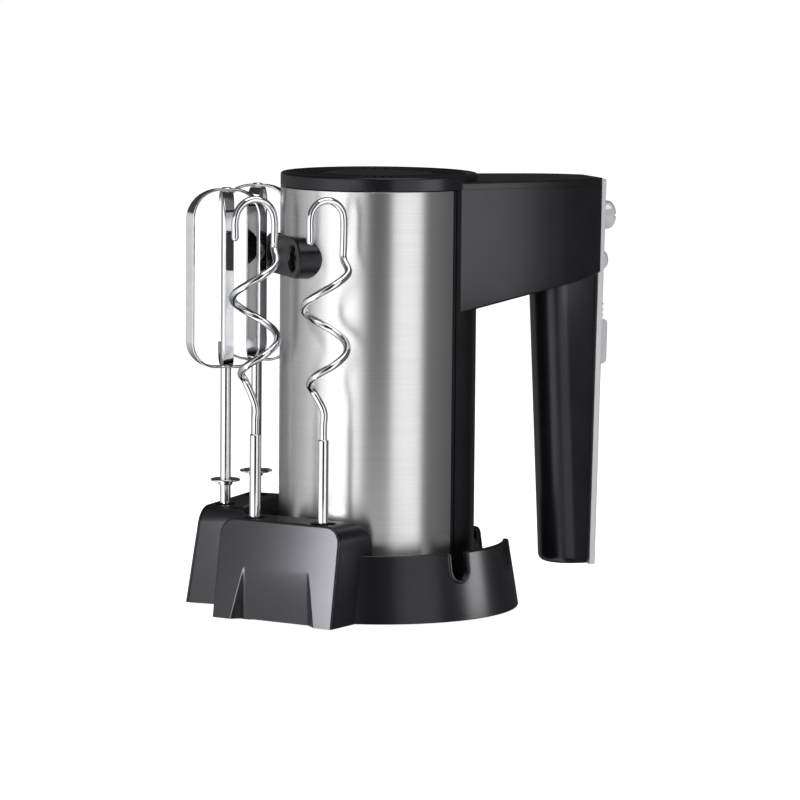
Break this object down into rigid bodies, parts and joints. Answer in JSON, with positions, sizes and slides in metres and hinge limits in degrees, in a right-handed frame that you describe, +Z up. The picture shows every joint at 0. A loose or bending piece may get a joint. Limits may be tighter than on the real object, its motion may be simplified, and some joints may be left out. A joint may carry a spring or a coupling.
{
  "type": "hand mixer",
  "caption": "Upright hand mixer with steel body and side grip, stored in a round base with wire beaters and dough hooks.",
  "frame": {"origin": "on the upright axis of the mixer's body, at the height that the base's feet stand on", "axes": "+Z up the body, +X towards the grip and its controls, -X the way the tool sockets point"},
  "size_m": [0.2111, 0.1502, 0.2102],
  "materials": {
    "black_plastic": "satin black moulded plastic",
    "brushed_sleeve": "brushed round the body",
    "bright_chrome": "polished chrome plate",
    "silver_plastic": "silver satin lacquer",
    "foot_rubber": "plain",
    "machine_steel": "turned",
    "core_iron": "stacked sheet",
    "winding_copper": "enamelled copper wire",
    "bush_bronze": "sintered",
    "gear_nylon": "natural",
    "frame_zinc": "die cast",
    "inner_plastic": "plain",
    "board_green": "lacquered board",
    "brush_carbon": "pressed carbon"
  },
  "bodies": {
    "storage_base": {"base_shell": "black_plastic", "base_floor": "black_plastic", "base_screws": "machine_steel", "rubber_feet": "foot_rubber"},
    "mixer": {"left_housing": "black_plastic", "right_housing": "black_plastic", "front_cover": "black_plastic", "front_inlay": "black_plastic", "cover_screws": "machine_steel", "steel_sleeve": "brushed_sleeve", "heel_cover": "black_plastic", "heel_screws": "machine_steel", "cord_inlet": "foot_rubber", "output_nose": "black_plastic", "control_strip": "silver_plastic", "turbo_switch": "inner_plastic", "control_board": "board_green", "board_components": "inner_plastic", "field_core": "core_iron", "field_coils": "winding_copper", "stator_mount": "inner_plastic", "rear_bracket": "inner_plastic", "front_bracket": "inner_plastic", "shaft_bearings": "machine_steel", "brush_holders": "bush_bronze", "carbon_brushes": "brush_carbon", "brush_plate": "inner_plastic", "gearbox_frame": "frame_zinc", "spindle_bushes": "bush_bronze"},
    "eject": {"eject_button": "silver_plastic", "eject_rod": "inner_plastic", "eject_spring": "machine_steel"},
    "turbo": {"turbo_button": "silver_plastic"},
    "speed": {"speed_slider": "silver_plastic"},
    "armature": {"armature_shaft": "machine_steel", "armature_core": "core_iron", "armature_windings": "winding_copper", "commutator": "winding_copper", "cooling_fan": "inner_plastic", "worm": "machine_steel"},
    "left_drive": {"left_worm_wheel": "gear_nylon", "left_spindle": "machine_steel"},
    "right_drive": {"right_worm_wheel": "gear_nylon", "right_spindle": "machine_steel"},
    "left_hook": {"left_dough_hook_wire": "bright_chrome", "left_dough_hook_ferrule": "bright_chrome"},
    "right_hook": {"right_dough_hook_wire": "bright_chrome", "right_dough_hook_ferrule": "bright_chrome"},
    "left_beater": {"left_beater_shank": "bright_chrome", "left_beater_blades": "bright_chrome", "left_beater_collar": "bright_chrome"},
    "right_beater": {"right_beater_shank": "bright_chrome", "right_beater_blades": "bright_chrome", "right_beater_collar": "bright_chrome"}
  },
  "joints": [
    {"name": "mixer_lift", "type": "slide", "parent": "storage_base", "child": "mixer", "axis": [0, 0, 1], "range_m": [0, 0.12]},
    {"name": "eject_press", "type": "slide", "parent": "mixer", "child": "eject", "axis": [-1, 0, 0], "range_m": [0, 0.004], "stiffness_N_per_m": 800, "springref_m": -0.003, "deforming": ["eject_spring"]},
    {"name": "turbo_press", "type": "slide", "parent": "mixer", "child": "turbo", "axis": [-1, 0, 0], "range_m": [0, 0.0012], "stiffness_N_per_m": 1200, "springref_m": -0.001},
    {"name": "speed_slide", "type": "slide", "parent": "mixer", "child": "speed", "axis": [0.0179, 0, 0.9998], "range_m": [0, 0.01]},
    {"name": "armature_spin", "type": "hinge", "parent": "mixer", "child": "armature", "pos_m": [0, 0, 0.1], "axis": [0, 0, 1], "continuous": true},
    {"name": "left_spindle_spin", "type": "hinge", "parent": "mixer", "child": "left_drive", "pos_m": [-0.02, -0.017, 0.1706], "axis": [1, 0, 0], "continuous": true},
    {"name": "right_spindle_spin", "type": "hinge", "parent": "mixer", "child": "right_drive", "pos_m": [-0.02, 0.017, 0.1706], "axis": [1, 0, 0], "continuous": true},
    {"name": "left_hook_lift", "type": "slide", "parent": "storage_base", "child": "left_hook", "axis": [0, 0, 1], "range_m": [0, 0.1]},
    {"name": "right_hook_lift", "type": "slide", "parent": "storage_base", "child": "right_hook", "axis": [0, 0, 1], "range_m": [0, 0.1]},
    {"name": "left_beater_lift", "type": "slide", "parent": "storage_base", "child": "left_beater", "axis": [0, 0, 1], "range_m": [0, 0.1]},
    {"name": "right_beater_lift", "type": "slide", "parent": "storage_base", "child": "right_beater", "axis": [0, 0, 1], "range_m": [0, 0.1]}
  ],
  "couplings": [
    {"joint": "left_spindle_spin", "follows": "armature_spin", "ratio": -0.066667},
    {"joint": "right_spindle_spin", "follows": "armature_spin", "ratio": 0.066667}
  ]
}
